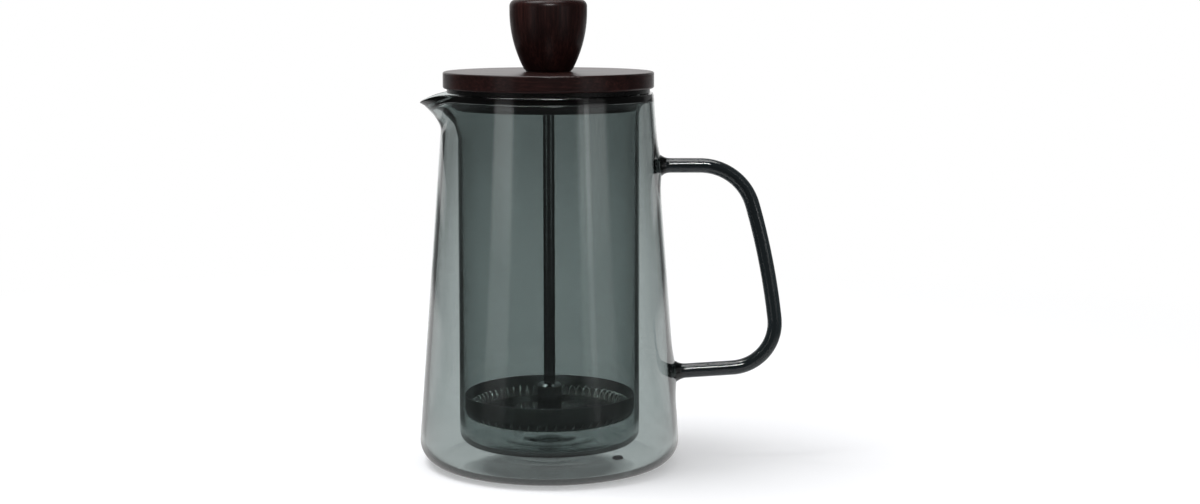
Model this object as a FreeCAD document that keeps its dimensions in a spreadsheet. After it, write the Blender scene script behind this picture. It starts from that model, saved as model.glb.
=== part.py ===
"""Double-walled glass coffee press with a turned wooden lid and knob.

Millimetres. +Z is up, the origin is the centre of the foot, +X points to the handle and -X to the spout.
Every size is a cell of the sheet Sizes. Each sub-part is one labelled object, written to parts/LABEL.step.
"""
import FreeCAD, Part
import math
import os
import re

import Sketcher
from FreeCAD import Placement, Rotation, Vector

SIZES = [
    # the two glass walls
    ("vessel_height", 160.0, "rim above the foot"),
    ("foot_radius", 57.0, "outer wall's slant line where it meets the foot plane"),
    ("foot_corner", 10.0, "outside radius between wall and foot"),
    ("outer_wall", 2.0, "thickness of the outer wall"),
    ("foot_wall", 2.4, "thickness of the foot"),
    ("chamber_radius", 37.2, "bore of the inner wall"),
    ("mouth_margin", 7.65, "outer wall at the rim, beyond the bore"),
    ("inner_wall", 1.8, "thickness of the inner wall"),
    ("chamber_floor", 10.6, "brewing chamber's floor above the foot"),
    ("chamber_corner", 3.4, "inside radius between bore and floor"),
    ("mouth_flare", 10.0, "radius by which the bore opens towards the rim"),
    ("seam_depth", 2.9, "depth below the rim at which the two walls are fused"),
    # the pulled spout
    ("spout_reach", 54.9, "tip from the axis"),
    ("spout_drop", 4.0, "tip below the rim"),
    ("spout_rise", 12.0, "height over which the spout grows out of the wall"),
    ("spout_half_width", 13.65, "half width of the spout where it leaves the rim"),
    ("spout_nose", 4.0, "half width of the spout's rounded nose"),
    ("lip_level", 2.4, "level stretch of the spout's lips, before they slope down to the tip"),
    ("channel_half_width", 10.4, "half width of the pouring channel at the rim"),
    ("channel_depth", 2.4, "pouring channel below the rim"),
    ("channel_lean", 1.4, "by which each side of the channel leans outwards over its depth"),
    ("channel_nose", 2.2, "half width of the channel's rounded end"),
    ("swell_depth", 19.0, "depth below the rim at which the bore starts to swell towards the spout"),
    ("swell_reach", 4.1, "how far the bore swells towards the spout"),
    ("swell_half_width", 12.35, "half width of the swelling"),
    # the vent through which the space between the walls is sealed
    ("vent_ring", 31.1, "vent from the axis"),
    ("vent_angle", 18.1, "degrees from the handle towards the front"),
    ("vent_bore", 3.0, "diameter of the vent"),
    ("plug_head", 5.0, "diameter of the plug's head"),
    ("plug_head_height", 1.0, "height of the plug's head"),
    ("plug_chamfer", 0.6, "chamfer of the plug's head, across its width"),
    ("plug_recess", 0.4, "plug's outer end above the foot plane"),
    # the glass handle
    ("handle_diameter", 6.3, "glass rod of the handle"),
    ("handle_top", 128.7, "height of the upper straight"),
    ("handle_straight", 64.9, "end of the upper straight from the axis"),
    ("upper_bend", 23.5, "radius of the upper bend"),
    ("upper_angle", 73.8, "degrees of the upper bend"),
    ("side_bend", 307.0, "radius of the long side"),
    ("side_angle", 9.45, "degrees of the long side"),
    ("lower_bend", 19.4, "radius of the lower bend"),
    ("lower_angle", 93.0, "degrees of the lower bend"),
    ("root_diameter", 9.2, "handle's foot on the wall"),
    ("root_length", 4.6, "length over which the foot tapers"),
    # the wooden lid and its plastic insert
    ("lid_overhang", 0.15, "wooden disc beyond the rim's outside"),
    ("lid_thickness", 7.0, "wooden disc"),
    ("lid_round", 0.8, "rounding of the disc's edges"),
    ("flange_inset", 1.55, "insert's flange, which rests on the rim, inside the rim's outside"),
    ("flange_thickness", 1.85, "insert's flange"),
    ("rim_clearance", 0.05, "flange above the rim"),
    ("skirt_wall", 2.0, "thickness of the skirt"),
    ("skirt_depth", 7.1, "skirt below the flange"),
    ("bead_height", 0.8, "bead that keeps the seal on the skirt"),
    ("bead_width", 1.0, "the same bead, along the axis"),
    ("bead_drop", 3.3, "the same bead below the flange"),
    ("boss_radius", 7.5, "insert's boss round the rod"),
    ("boss_depth", 5.8, "boss below the flange"),
    ("rib_thickness", 1.4, "ribs between boss and skirt"),
    ("rib_depth", 3.2, "ribs below the flange"),
    ("rib_count", 6, "ribs between boss and skirt"),
    ("seal_stand", 0.8, "outside of the seal beyond the bore, where the mouth flares"),
    ("seal_wall", 3.2, "thickness of the seal"),
    ("seal_round", 2.0, "rounding of the seal's lower edge"),
    ("seal_clearance", 0.3, "seal to the parts that it turns on"),
    ("screw_circle", 21.0, "lid screws from the axis"),
    ("screw_count", 3, "lid screws"),
    ("screw_diameter", 3.0, "shank of a lid screw"),
    ("screw_length", 6.5, "lid screw with its head"),
    ("screw_head", 5.6, "diameter of a screw's raised head"),
    ("screw_head_height", 1.3, "height of that head"),
    ("screw_edge", 0.5, "straight edge of that head, along the axis"),
    ("screw_crown", 3.6, "diameter of the flat on that head"),
    ("screw_point", 1.2, "length of a screw's point"),
    ("screw_play", 0.3, "wood bored beyond a screw's point"),
    ("slot_length", 2.7, "driver slot in that head"),
    ("slot_width", 0.8, "driver slot in that head"),
    ("slot_depth", 0.65, "driver slot in that head"),
    # the sleeve that guides the rod through the lid
    ("running_clearance", 0.05, "radial clearance of sliding and turning fits"),
    ("bush_wall", 1.35, "thickness of the sleeve"),
    ("bush_flange", 6.3, "radius of the sleeve's flange"),
    ("bush_flange_thickness", 0.7, "sleeve's flange, let into the lid"),
    ("clip_width", 1.9, "clip under the boss, from the sleeve outwards"),
    ("clip_thickness", 0.7, "the same clip, along the axis"),
    ("clip_clearance", 0.15, "axial play of the sleeve"),
    ("bush_tail", 0.4, "sleeve below the clip"),
    ("bush_chamfer", 0.2, "edge of the sleeve's flange"),
    ("bush_lead_in", 0.3, "chamfer at the upper end of the sleeve's bore"),
    ("clip_mouth", 2.4, "gap of the clip at the sleeve"),
    ("clip_mouth_outside", 3.6, "gap of the clip at its outside"),
    # the knob
    ("knob_height", 30.4, "foot to top"),
    ("knob_radius", 16.5, "widest part"),
    ("knob_foot", 9.9, "radius of the knob's foot"),
    ("knob_widest", 25.3, "height of the widest part above the knob's foot"),
    ("knob_top_round", 3.0, "rounding of the top edge"),
    ("knob_foot_round", 0.8, "rounding of the foot's edge"),
    ("knob_gap", 0.1, "knob above the lid when the plunger is down"),
    ("insert_radius", 4.0, "threaded insert in the knob"),
    ("insert_length", 12.0, "threaded insert in the knob"),
    ("insert_recess", 0.6, "insert above the knob's foot"),
    ("insert_groove", 2.4, "width of the groove round the insert"),
    ("insert_groove_depth", 0.6, "depth of that groove"),
    ("drill_point", 2.0, "cone that the drill left above the insert"),
    # the rod and what it carries
    ("rod_diameter", 5.0, "plunger rod"),
    ("rod_engagement", 11.0, "rod's thread in the knob"),
    ("rod_chamfer", 0.5, "rod's ends"),
    ("filter_rest", 18.8, "cross plate's underside above the foot, plunger down"),
    ("cross_inset", 6.8, "cross plate's edge inside the screen's wall"),
    ("cross_gauge", 0.9, "cross plate"),
    ("cross_ring", 19.5, "cross plate's outer holes from the axis"),
    ("cross_hole", 6.4, "diameter of those holes"),
    ("cross_hole_count", 12, "those holes"),
    ("cross_inner_ring", 10.6, "cross plate's inner holes from the axis"),
    ("cross_inner_hole", 4.0, "diameter of the inner holes"),
    ("cross_inner_count", 6, "inner holes"),
    ("screen_clearance", 0.4, "screen's turned-up wall inside the bore"),
    ("screen_height", 10.6, "mesh screen"),
    ("screen_gauge", 0.35, "mesh screen"),
    ("screen_corner", 3.1, "outside radius between wall and floor"),
    ("spiral_gauge", 0.8, "spiral plate"),
    ("spiral_rim", 2.4, "height of the spiral plate's rim"),
    ("spiral_ring", 22.5, "spiral plate's outer holes from the axis"),
    ("spiral_hole", 2.6, "diameter of its holes"),
    ("spiral_hole_count", 28, "outer holes"),
    ("spiral_inner_ring", 13.5, "spiral plate's inner holes from the axis"),
    ("spiral_inner_count", 16, "inner holes"),
    ("coil_clearance", 0.3, "coil spring to the plate, the wall and the floor round it"),
    ("coil_diameter", 4.95, "outside of the spring's turns"),
    ("coil_wire", 0.8, "diameter of the spring's wire"),
    ("coil_count", 57, "turns of the spring"),
    ("coil_angle", 14.0, "degrees by which each turn leans"),
    ("hub_radius", 5.25, "hub that clamps the filter from above"),
    ("hub_height", 13.2, "hub"),
    ("hub_chamfer", 0.9, "hub's upper edge"),
    ("washer_radius", 5.6, "washer under the cross plate"),
    ("washer_gauge", 0.6, "washer under the cross plate"),
    ("nut_flats", 8.0, "nut across its flats"),
    ("nut_height", 3.0, "nut under the filter"),
    ("rod_tail", 0.6, "rod below the nut"),
]

doc = FreeCAD.newDocument("coffee_press")
sheet = doc.addObject("Spreadsheet::Sheet", "Sizes")
for row, (alias, number, note) in enumerate(SIZES, start=1):
    sheet.set(f"A{row}", note)
    sheet.set(f"B{row}", str(number))
    sheet.setAlias(f"B{row}", alias)
doc.recompute()

ALIAS = re.compile(r"\b(" + "|".join(alias for alias, _, _ in SIZES) + r")\b")
TOP = "XY_Plane"
FRONT = "XZ_Plane"
SIDE = "YZ_Plane"
ORIGIN_POINT = (-1, 1)
NEAR = 1e-3  # two lengths that differ by less are the same
OVERRUN = 1.0  # how far a cut runs past the face that it opens
SUNK = 1.5  # how deep an added solid starts inside the wall that carries it
BURIED = 0.2  # how deep the lowest section of a pulled shape lies inside the wall
NOSE_BULGE = 0.7  # how far a nose stands out, as a share of its half width
PULL_POWER = 1.6  # the reach of pulled glass grows with this power of its height
SPOUT_SHARES = (0.0, 0.225, 0.41, 0.6, 0.75, 1.0)  # heights of the spout's sections, as shares of its own
SPOUT_START = 0.43  # the spout's width where it starts, as a share of its width at the rim
SWELL_SHARES = (0.0, 0.35, 0.7, 0.92)  # heights of the swelling's sections, as shares of its own


def sized(expression):
    """The expression with every size's name pointed at its cell."""
    return ALIAS.sub(r"Sizes.\1", expression)


def value(expression):
    """What an expression of sizes comes to, as a number."""
    return float(sheet.evalExpression(sized(expression)))


# heights and radii that several sub-parts share
MOUTH_RADIUS = "(chamber_radius + mouth_margin)"
BENDS = (("upper_bend", "upper_angle"), ("side_bend", "side_angle"), ("lower_bend", "lower_angle"))
LEAN = f"((foot_radius - {MOUTH_RADIUS}) / vessel_height)"
FLARE_BASE = "(vessel_height - mouth_flare)"
FLARE_CENTRE = "(chamber_radius + mouth_flare)"
SEAM_RADIUS = f"(foot_radius - {LEAN} * (vessel_height - seam_depth) - outer_wall)"
SEAM_TOP = f"({FLARE_BASE} + sqrt(mouth_flare^2 - ({FLARE_CENTRE} - {SEAM_RADIUS})^2))"
SEAM_FOOT = f"({FLARE_BASE} + sqrt((mouth_flare - inner_wall)^2 - ({FLARE_CENTRE} - {SEAM_RADIUS})^2))"
RIM_ROUND = f"(({MOUTH_RADIUS} - {SEAM_RADIUS}) / 2)"
SPOUT_TIP = "(vessel_height - spout_drop)"
SPOUT_FOOT = f"({SPOUT_TIP} - spout_rise)"
FLANGE_FOOT = "(vessel_height + rim_clearance)"
LID_FOOT = f"({FLANGE_FOOT} + flange_thickness)"
LID_TOP = f"({LID_FOOT} + lid_thickness)"
ROD_RADIUS = "(rod_diameter / 2)"
BUSH_BORE = f"({ROD_RADIUS} + running_clearance)"
BUSH_RADIUS = f"({BUSH_BORE} + bush_wall)"
BUSH_HOLE = f"({BUSH_RADIUS} + running_clearance)"
BOSS_FOOT = f"({FLANGE_FOOT} - boss_depth)"
CLIP_TOP = f"({BOSS_FOOT} - clip_clearance)"
BUSH_FOOT = f"({CLIP_TOP} - clip_thickness - bush_tail)"
SEAL_RADIUS = "(chamber_radius + seal_stand)"
SEAL_BORE = f"({SEAL_RADIUS} - seal_wall)"
SKIRT_RADIUS = f"({SEAL_BORE} - seal_clearance)"
KNOB_FOOT = f"({LID_TOP} + knob_gap)"
SCREEN_RADIUS = "(chamber_radius - screen_clearance)"
COIL_OUTSIDE = f"({SCREEN_RADIUS} - screen_gauge - coil_clearance)"
SPIRAL_RADIUS = f"({COIL_OUTSIDE} - coil_diameter - coil_clearance)"
SCREEN_FOOT = "(filter_rest + cross_gauge)"
SPIRAL_FOOT = f"({SCREEN_FOOT} + screen_gauge)"
HUB_FOOT = f"({SPIRAL_FOOT} + spiral_gauge)"
THREAD_HOLE = f"({ROD_RADIUS} + running_clearance)"
SCREW_TIP = f"({FLANGE_FOOT} - screw_head_height + screw_length)"
NUT_TOP = "(filter_rest - washer_gauge)"
VENT_ACROSS = "vent_ring * cos(vent_angle * 1 deg)"
VENT_ALONG = "-vent_ring * sin(vent_angle * 1 deg)"


def wall_radius(height):
    """Outside radius of the outer wall at a height, on its straight slant."""
    return f"(foot_radius - {LEAN} * ({height}))"


def chord_inside(radius, half_width):
    """How far from the axis a chord of that half width lies inside a circle."""
    return f"(sqrt(({radius})^2 - ({half_width})^2) - {SUNK})"


def slanted_corner(slant_foot, floor, radius):
    """The two corners of an arc that joins a floor to a wall with the outer wall's slant.

    slant_foot is the radius at which the wall's line would meet the foot plane.
    """
    slope = f"sqrt(1 + {LEAN}^2)"
    centre_along = f"({floor} + {radius})"
    centre_across = f"({slant_foot} - {LEAN} * {centre_along} - {radius} * {slope})"
    return [
        (centre_across, floor, radius),
        (f"{centre_across} + {radius} / {slope}", f"{centre_along} + {radius} * {LEAN} / {slope}"),
    ]


def new_body(label):
    body = doc.addObject("PartDesign::Body", label)
    body.Label = label
    return body


def new_sketch(body, name, role, lift=None):
    """A sketch on one of the body's own origin planes, lifted along the plane's normal."""
    sketch = body.newObject("Sketcher::SketchObject", name)
    plane = next(feature for feature in body.Origin.OriginFeatures if feature.Role == role)
    sketch.AttachmentSupport = [(plane, "")]
    sketch.MapMode = "FlatFace"
    if lift is not None:
        sketch.setExpression("AttachmentOffset.Base.z", sized(lift))
    return sketch


def bind(sketch, kind, places, expression):
    """Add a dimension to the sketch and tie it to an expression of sizes."""
    number = value(expression)
    if kind == "Angle":
        number = math.radians(number)
    index = sketch.addConstraint(Sketcher.Constraint(kind, *places, number))
    sketch.setExpression(f"Constraints[{index}]", sized(expression))


def pin(sketch, point, across, along):
    """Fix a sketch point at two coordinates given as expressions. -2 and -1 are the sketch's own axes."""
    for kind, axis, expression in (("DistanceX", -2, across), ("DistanceY", -1, along)):
        if expression == "0":
            sketch.addConstraint(Sketcher.Constraint("PointOnObject", *point, axis))
        else:
            bind(sketch, kind, (*ORIGIN_POINT, *point), expression)


def add_arc(sketch, start, end, radius):
    """An arc from start to end, to the left where the radius is positive. Returns both ends in order."""
    chord = end - start
    half = chord.Length / 2
    left = Vector(-chord.y, chord.x, 0).normalize()
    rise = math.sqrt(max(radius**2 - half**2, 0.0))
    centre = (start + end) / 2 + left * math.copysign(rise, radius)
    first, last = (start, end) if radius > 0 else (end, start)
    angles = [math.atan2(p.y - centre.y, p.x - centre.x) for p in (first, last)]
    circle = Part.Circle(centre, Vector(0, 0, 1), abs(radius))
    arc = sketch.addGeometry(Part.ArcOfCircle(circle, *angles), False)
    return ((arc, 1), (arc, 2)) if radius > 0 else ((arc, 2), (arc, 1))


def draw_outline(sketch, corners):
    """Close an outline through corners (across, along), or (across, along, radius) where an arc starts.

    A radius that starts with a minus sign turns the arc to the right.
    """
    points = [Vector(value(corner[0]), value(corner[1]), 0) for corner in corners]
    ends = []
    for index, corner in enumerate(corners):
        start, end = points[index], points[(index + 1) % len(points)]
        if len(corner) == 3:
            ends.append(add_arc(sketch, start, end, value(corner[2])))
        else:
            line = sketch.addGeometry(Part.LineSegment(start, end), False)
            ends.append(((line, 1), (line, 2)))
    for index, corner in enumerate(corners):
        pin(sketch, ends[index][0], corner[0], corner[1])
        sketch.addConstraint(Sketcher.Constraint("Coincident", *ends[index - 1][1], *ends[index][0]))
        if len(corner) == 3:
            bind(sketch, "Radius", (ends[index][0][0],), corner[2].lstrip("-"))


def draw_circle(sketch, radius, across="0", along="0"):
    centre = Vector(value(across), value(along), 0)
    circle = sketch.addGeometry(Part.Circle(centre, Vector(0, 0, 1), value(radius)), False)
    bind(sketch, "Radius", (circle,), radius)
    pin(sketch, (circle, 3), across, along)


def turned(body, kind, name, corners):
    """A Revolution or Groove of an outline about the vertical axis."""
    sketch = new_sketch(body, name + "Outline", FRONT)
    draw_outline(sketch, corners)
    feature = body.newObject("PartDesign::" + kind, name)
    feature.Profile = sketch
    feature.ReferenceAxis = (sketch, ["V_Axis"])
    feature.Angle = 360
    doc.recompute()
    return feature


def turned_body(label, corners):
    body = new_body(label)
    turned(body, "Revolution", "Turned", corners)
    return body


def check_change(body, name, before, adds):
    """A feature has added or taken away material, as it should."""
    change = body.Shape.Volume - before
    assert abs(change) > NEAR and (change > 0) == adds, f"{body.Label}: {name} changed {change:.2f} mm3"


def raised(body, kind, name, sketch, height):
    """A Pad or Pocket that runs upwards from its sketch, which lies on a horizontal plane."""
    before = body.Shape.Volume if body.Tip else 0.0
    feature = body.newObject("PartDesign::" + kind, name)
    feature.Profile = sketch
    feature.setExpression("Length", sized(height))
    feature.Reversed = kind == "Pocket"
    doc.recompute()
    check_change(body, name, before, kind == "Pad")
    return feature


def drilled(body, name, radius, across, along, foot, top):
    """A round hole, bored upwards from an underside."""
    sketch = new_sketch(body, name + "Circle", TOP, f"{foot} - {OVERRUN}")
    draw_circle(sketch, radius, across, along)
    return raised(body, "Pocket", name, sketch, f"{top} - ({foot} - {OVERRUN})")


def repeated(body, name, features, count):
    """The features in even steps round the vertical axis."""
    pattern = body.newObject("PartDesign::PolarPattern", name)
    pattern.Originals = features
    axis = next(f for f in body.Origin.OriginFeatures if f.Role == "Z_Axis")
    pattern.Axis = (axis, [""])
    pattern.Angle = 360
    pattern.setExpression("Occurrences", sized(count))
    body.Tip = pattern
    doc.recompute()


def rounded(body, name, radius, circles, kind="Fillet"):
    """Fillet or chamfer the body's round edges that match (radius, height) pairs."""
    wanted = [(value(across), value(along)) for across, along in circles]
    edges = []
    for index, edge in enumerate(body.Shape.Edges, start=1):
        box = edge.BoundBox
        flat = box.ZLength < NEAR
        reach = (box.XLength + box.YLength) / 4
        if flat and any(abs(reach - r) < NEAR and abs(box.ZMin - z) < NEAR for r, z in wanted):
            edges.append(f"Edge{index}")
    assert len(edges) == len(circles), f"{body.Label}: {name} found {len(edges)} edges"
    base = body.Tip
    feature = body.newObject("PartDesign::" + kind, name)
    feature.Base = (base, edges)
    feature.setExpression("Radius" if kind == "Fillet" else "Size", sized(radius))
    body.Tip = feature
    doc.recompute()


def lobe(body, name, kind, levels, nose):
    """Loft round-nosed wedges of (height, chord from the axis, reach, half width) on the spout's side.

    The lowest wedge reaches a little less far, so that it lies inside the wall that the shape grows from.
    """
    sketches = []
    for number, (height, chord, reach, half) in enumerate(levels, start=1):
        sketch = new_sketch(body, f"{name}Level{number}", TOP, height)
        shoulder = f"({reach} - {nose} * {NOSE_BULGE} - {BURIED if number == 1 else 0})"
        draw_outline(sketch, [
            (f"-{chord}", half),
            (f"-{shoulder}", nose, f"{nose} * (1 + {NOSE_BULGE}^2) / (2 * {NOSE_BULGE})"),
            (f"-{shoulder}", f"-{nose}"),
            (f"-{chord}", f"-{half}"),
        ])
        sketches.append(sketch)
    doc.recompute()
    loft = body.newObject("PartDesign::" + kind, name)
    loft.Profile = sketches[0]
    loft.Sections = sketches[1:]
    loft.Ruled = False
    before = body.Shape.Volume
    doc.recompute()
    check_change(body, name, before, kind == "AdditiveLoft")


def pouring_channel(body):
    """The channel that runs out over the spout's tip, through whatever glass is in its way."""
    chord = chord_inside("chamber_radius", "channel_half_width")
    reach = f"(spout_reach + {OVERRUN})"
    lobe(body, "Channel", "SubtractiveLoft", [
        ("(vessel_height - channel_depth)", chord, reach, "(channel_half_width - channel_lean)"),
        (f"(vessel_height + {OVERRUN})", chord, reach,
         f"(channel_half_width + channel_lean * {OVERRUN} / channel_depth)"),
    ], "channel_nose")


def make_outer_glass():
    """The conical outer wall with its foot, its rounded rim and the spout that is pulled from it."""
    body = new_body("outer_glass")
    turned(body, "Revolution", "Cone", [
        ("0", "0"),
        *slanted_corner("foot_radius", "0", "foot_corner"),
        (wall_radius(f"vessel_height - {RIM_ROUND}"), f"vessel_height - {RIM_ROUND}", RIM_ROUND),
        (f"{SEAM_RADIUS} + {RIM_ROUND}", "vessel_height"),
        ("0", "vessel_height"),
    ])
    levels = []
    for share in SPOUT_SHARES:
        height = f"({SPOUT_FOOT} + (vessel_height - {SPOUT_FOOT}) * {share})"
        growth = f"(({height} - {SPOUT_FOOT}) / spout_rise)^{PULL_POWER}"
        reach = f"({wall_radius(height)} + (spout_reach - {wall_radius(SPOUT_TIP)}) * {growth})"
        width = f"(spout_half_width * {SPOUT_START + (1 - SPOUT_START) * share:.3f})"
        levels.append((height, chord_inside(f"{wall_radius(height)} - outer_wall", width), reach, width))
    lobe(body, "Spout", "AdditiveLoft", levels, "spout_nose")
    start, far = f"({MOUTH_RADIUS} + lip_level)", "(spout_reach + spout_rise)"
    top = f"vessel_height + {OVERRUN}"
    slope = new_sketch(body, "LipSlope", FRONT)
    draw_outline(slope, [
        (f"-{start}", "vessel_height"),
        (f"-{far}", f"vessel_height - spout_drop * ({far} - {start}) / (spout_reach - {start})"),
        (f"-{far}", top),
        (f"-{start}", top),
    ])
    cut = body.newObject("PartDesign::Pocket", "Lip")
    cut.Profile = slope
    cut.Type = "ThroughAll"
    cut.Midplane = True
    doc.recompute()
    pouring_channel(body)
    turned(body, "Groove", "Hollow", [
        ("0", "foot_wall"),
        *slanted_corner("(foot_radius - outer_wall)", "foot_wall", "(foot_corner - outer_wall)"),
        (SEAM_RADIUS, "vessel_height - seam_depth"),
        (SEAM_RADIUS, top),
        ("0", top),
    ])
    drilled(body, "Vent", "vent_bore / 2", VENT_ACROSS, VENT_ALONG, "0", f"foot_wall + {OVERRUN}")
    return body


def make_inner_glass():
    """The straight inner wall, flared at the mouth, swollen towards the spout and fused to the outer wall."""
    body = new_body("inner_glass")
    outer = "(chamber_radius + inner_wall)"
    turned(body, "Revolution", "Tube", [
        ("0", "chamber_floor - inner_wall"),
        (outer, "chamber_floor - inner_wall"),
        (outer, FLARE_BASE, "-(mouth_flare - inner_wall)"),
        (SEAM_RADIUS, SEAM_FOOT),
        (SEAM_RADIUS, SEAM_TOP),
        ("0", SEAM_TOP),
    ])
    rounded(body, "TubeCorner", "chamber_corner + inner_wall", [(outer, "chamber_floor - inner_wall")])
    outside, chord = [], chord_inside("chamber_radius", "swell_half_width")
    for share in SWELL_SHARES:
        height = f"(vessel_height - swell_depth + (swell_depth - seam_depth) * {share})"
        reach = f"({outer} + swell_reach * {share}^{PULL_POWER})"
        outside.append((height, chord, reach, "swell_half_width"))
    lobe(body, "SwellOutside", "AdditiveLoft", outside, "spout_nose")
    turned(body, "Groove", "Bore", [
        ("0", "chamber_floor"),
        ("chamber_radius", "chamber_floor"),
        ("chamber_radius", FLARE_BASE, "-mouth_flare"),
        (SEAM_RADIUS, SEAM_TOP),
        (SEAM_RADIUS, f"vessel_height + {OVERRUN}"),
        ("0", f"vessel_height + {OVERRUN}"),
    ])
    rounded(body, "BoreCorner", "chamber_corner", [("chamber_radius", "chamber_floor")])
    inside = [(height, chord, f"({reach} - inner_wall)", f"({half} - inner_wall)")
              for height, chord, reach, half in outside]
    lobe(body, "SwellInside", "SubtractiveLoft", inside, "(spout_nose - inner_wall / 2)")
    pouring_channel(body)
    return body


def make_vent_plug():
    """The plug that seals the vent, with its head inside the space between the walls."""
    body = new_body("vent_plug")
    turned(body, "Revolution", "Plug", [
        ("0", "plug_recess"),
        ("vent_bore / 2", "plug_recess"),
        ("vent_bore / 2", "foot_wall"),
        ("plug_head / 2", "foot_wall"),
        ("plug_head / 2 - plug_chamfer", "foot_wall + plug_head_height"),
        ("0", "foot_wall + plug_head_height"),
    ])
    body.setExpression("Placement.Base.x", sized(VENT_ACROSS))
    body.setExpression("Placement.Base.y", sized(VENT_ALONG))
    return body


def make_glass_handle():
    """A bent glass rod whose two feet are fused to the outer wall."""
    body = new_body("glass_handle")
    start = f"({wall_radius('handle_top')} - outer_wall)"
    path = new_sketch(body, "Path", FRONT)
    here, heading = Vector(value(start), value("handle_top"), 0), 0.0
    straight_end = Vector(value("handle_straight"), here.y, 0)
    top = path.addGeometry(Part.LineSegment(here, straight_end), False)
    pin(path, (top, 1), start, "handle_top")
    path.addConstraint(Sketcher.Constraint("Horizontal", top))
    bind(path, "DistanceX", (*ORIGIN_POINT, top, 2), "handle_straight")
    here, joined = straight_end, (top, 2)
    for radius, turn in BENDS:
        reach = value(radius)
        centre = here + Vector(math.sin(heading), -math.cos(heading), 0) * reach
        heading -= math.radians(value(turn))
        end = centre + Vector(-math.sin(heading), math.cos(heading), 0) * reach
        angles = [math.atan2(p.y - centre.y, p.x - centre.x) for p in (end, here)]
        circle = Part.Circle(centre, Vector(0, 0, 1), reach)
        arc = path.addGeometry(Part.ArcOfCircle(circle, *angles), False)
        path.addConstraint(Sketcher.Constraint("Tangent", *joined, arc, 2))
        bind(path, "Radius", (arc,), radius)
        bind(path, "Angle", (arc,), f"{turn} * 1 deg")
        here, joined = end, (arc, 1)
    drops, turned_by = [], "0"
    for radius, turn in BENDS:
        drops.append(f"{radius} * (cos(({turned_by}) * 1 deg) - cos(({turned_by} + {turn}) * 1 deg))")
        turned_by += f" + {turn}"
    last_x = f"({wall_radius('handle_top - ' + ' - '.join(drops))} - outer_wall)"
    run = (here.x - value(last_x)) / -math.cos(heading)
    end = here + Vector(math.cos(heading), math.sin(heading), 0) * run
    bottom = path.addGeometry(Part.LineSegment(here, end), False)
    path.addConstraint(Sketcher.Constraint("Tangent", *joined, bottom, 1))
    bind(path, "DistanceX", (*ORIGIN_POINT, bottom, 2), last_x)
    section = new_sketch(body, "Section", SIDE, start)
    draw_circle(section, "handle_diameter / 2", "0", "handle_top")
    doc.recompute()
    rod = body.newObject("PartDesign::AdditivePipe", "Rod")
    rod.Profile = section
    rod.Spine = (path, [f"Edge{number + 1}" for number in range(path.GeometryCount)])
    doc.recompute()
    length = sum(edge.Length for edge in path.Shape.Edges)
    area = math.pi * value("handle_diameter") ** 2 / 4
    assert abs(body.Shape.Volume / (length * area) - 1) < 0.01, "the handle's rod has lost its section"
    for name, edge, share in (("UpperFoot", 1, 0), ("LowerFoot", path.GeometryCount, 1)):
        cone = body.newObject("PartDesign::AdditiveCone", name)
        cone.setExpression("Radius1", sized("root_diameter / 2 + (root_diameter - handle_diameter) / 4"))
        cone.setExpression("Radius2", sized("handle_diameter / 2"))
        cone.setExpression("Height", sized("root_length + outer_wall"))
        cone.AttachmentSupport = [(path, f"Edge{edge}")]
        cone.MapMode = "NormalToEdge"
        cone.MapPathParameter = share
        cone.MapReversed = share == 0
        doc.recompute()
    turned(body, "Groove", "Seat", [
        ("0", "0"),
        (wall_radius("0"), "0"),
        (wall_radius("vessel_height"), "vessel_height"),
        ("0", "vessel_height"),
    ])
    return body


def make_lid_disc():
    """The turned wooden disc, bored for the sleeve and the screws."""
    radius = f"({MOUTH_RADIUS} + lid_overhang)"
    body = turned_body("lid_disc", [
        (BUSH_HOLE, LID_FOOT),
        (radius, LID_FOOT),
        (radius, LID_TOP),
        ("bush_flange + running_clearance", LID_TOP),
        ("bush_flange + running_clearance", f"{LID_TOP} - bush_flange_thickness - running_clearance"),
        (BUSH_HOLE, f"{LID_TOP} - bush_flange_thickness - running_clearance"),
    ])
    rounded(body, "Edges", "lid_round", [(radius, LID_FOOT), (radius, LID_TOP)])
    pilot = drilled(body, "ScrewHole", "screw_diameter / 2 + running_clearance", "screw_circle", "0",
                    LID_FOOT, f"{SCREW_TIP} + screw_play")
    repeated(body, "ScrewHoles", [pilot], "screw_count")
    return body


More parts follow.
